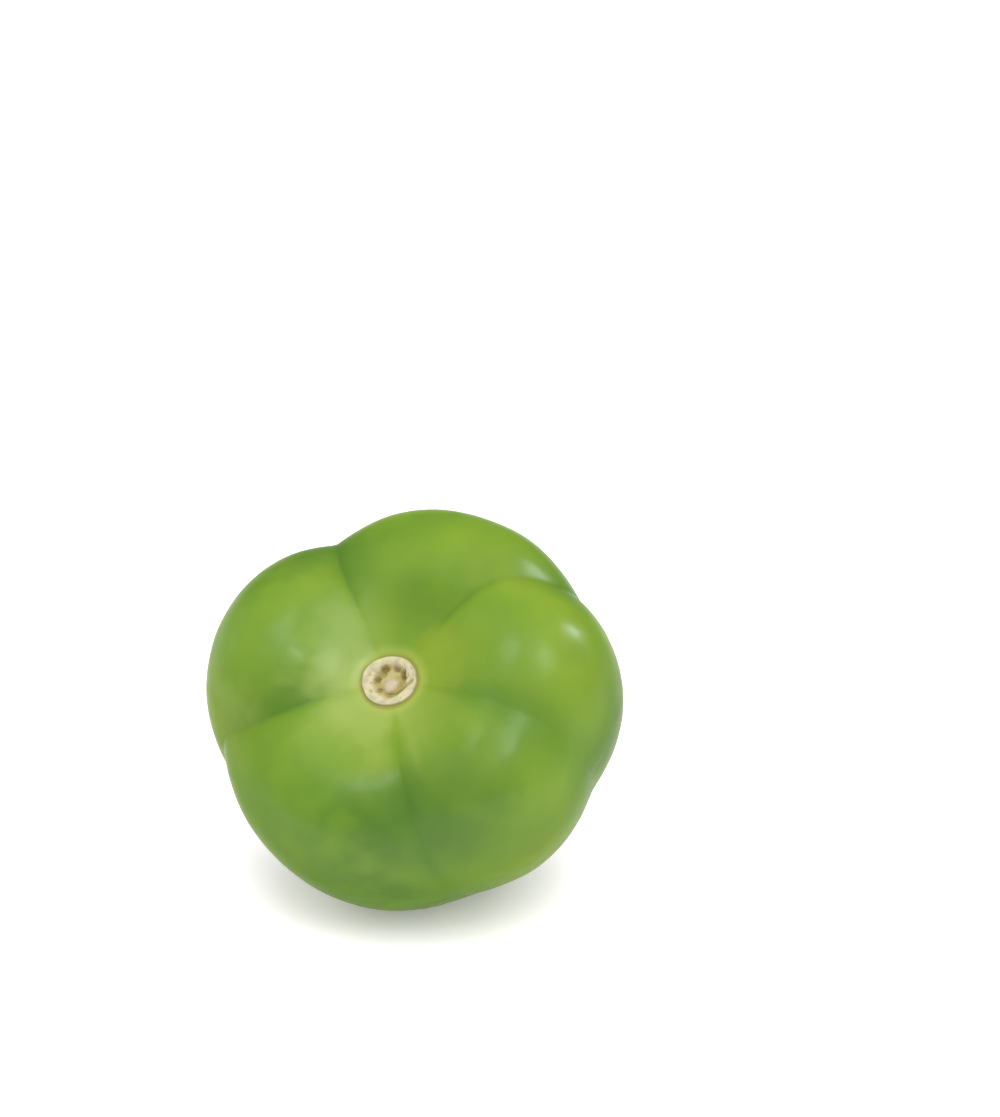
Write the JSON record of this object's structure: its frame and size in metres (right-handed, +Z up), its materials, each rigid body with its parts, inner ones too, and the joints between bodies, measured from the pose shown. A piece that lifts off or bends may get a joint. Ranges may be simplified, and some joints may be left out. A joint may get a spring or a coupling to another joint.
{
  "type": "husked tomatillo",
  "caption": "Whole husked green tomatillo with rounded lobes, grooves and a corky stem scar, lying on its side on a small flat spot.",
  "frame": {"origin": "the point on the table straight under the fruit's weight, on its flat spot", "axes": "+Z up from the table, -Y the way the stem end heads, +X across the fruit"},
  "size_m": [0.0562, 0.0508, 0.0503],
  "materials": {
    "skin": "glossy, waxy green skin, yellower round the stem scar",
    "stem_cork": "dry, matt cork"
  },
  "bodies": {
    "root": {"tomatillo": "skin"}
  },
  "joints": []
}
